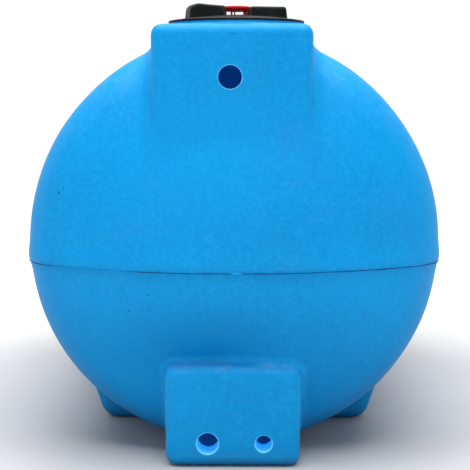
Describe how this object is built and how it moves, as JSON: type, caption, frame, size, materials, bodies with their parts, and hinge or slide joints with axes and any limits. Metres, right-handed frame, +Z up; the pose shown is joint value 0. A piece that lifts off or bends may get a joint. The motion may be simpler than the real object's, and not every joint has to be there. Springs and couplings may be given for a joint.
{
  "type": "horizontal water tank",
  "caption": "Round plastic water store lying on moulded feet, with a filler turret under a screw lid with a vent, and outlet sockets at one end.",
  "frame": {"origin": "on the floor under the middle of the barrel", "axes": "+Z up, barrel along Y, filler turret and outlets at the -Y end"},
  "size_m": [0.7802, 1.2312, 0.8356],
  "materials": {
    "blue_polyethylene": "satin, lightly mottled",
    "black_plastic": "satin",
    "black_rubber": "matt",
    "stainless_steel": "brushed",
    "red_plastic": "satin",
    "steel_mesh": "woven"
  },
  "bodies": {
    "tank": {"tank_shell": "blue_polyethylene", "neck_ring": "black_plastic", "neck_ring_seal": "black_rubber", "neck_ring_screws": "stainless_steel"},
    "gasket": {"lid_gasket": "black_rubber"},
    "lid": {"lid": "black_plastic", "vent_seal": "black_rubber", "vent_screen": "steel_mesh", "vent_screen_ring": "black_plastic"},
    "vent_cap": {"vent_cap": "red_plastic"}
  },
  "joints": [
    {"name": "lid_rise", "type": "slide", "parent": "tank", "child": "gasket", "axis": [0, 0, 1], "range_m": [0, 0.026]},
    {"name": "lid_turn", "type": "hinge", "parent": "gasket", "child": "lid", "pos_m": [0.005, -0.443, 0.804], "axis": [0, 0, 1], "range_deg": [0, 1170]},
    {"name": "vent_press", "type": "slide", "parent": "lid", "child": "vent_cap", "axis": [0, 0, 1], "range_m": [-0.007, 0]}
  ],
  "couplings": [
    {"joint": "lid_rise", "follows": "lid_turn", "m_per_rad": 0.0012732}
  ]
}
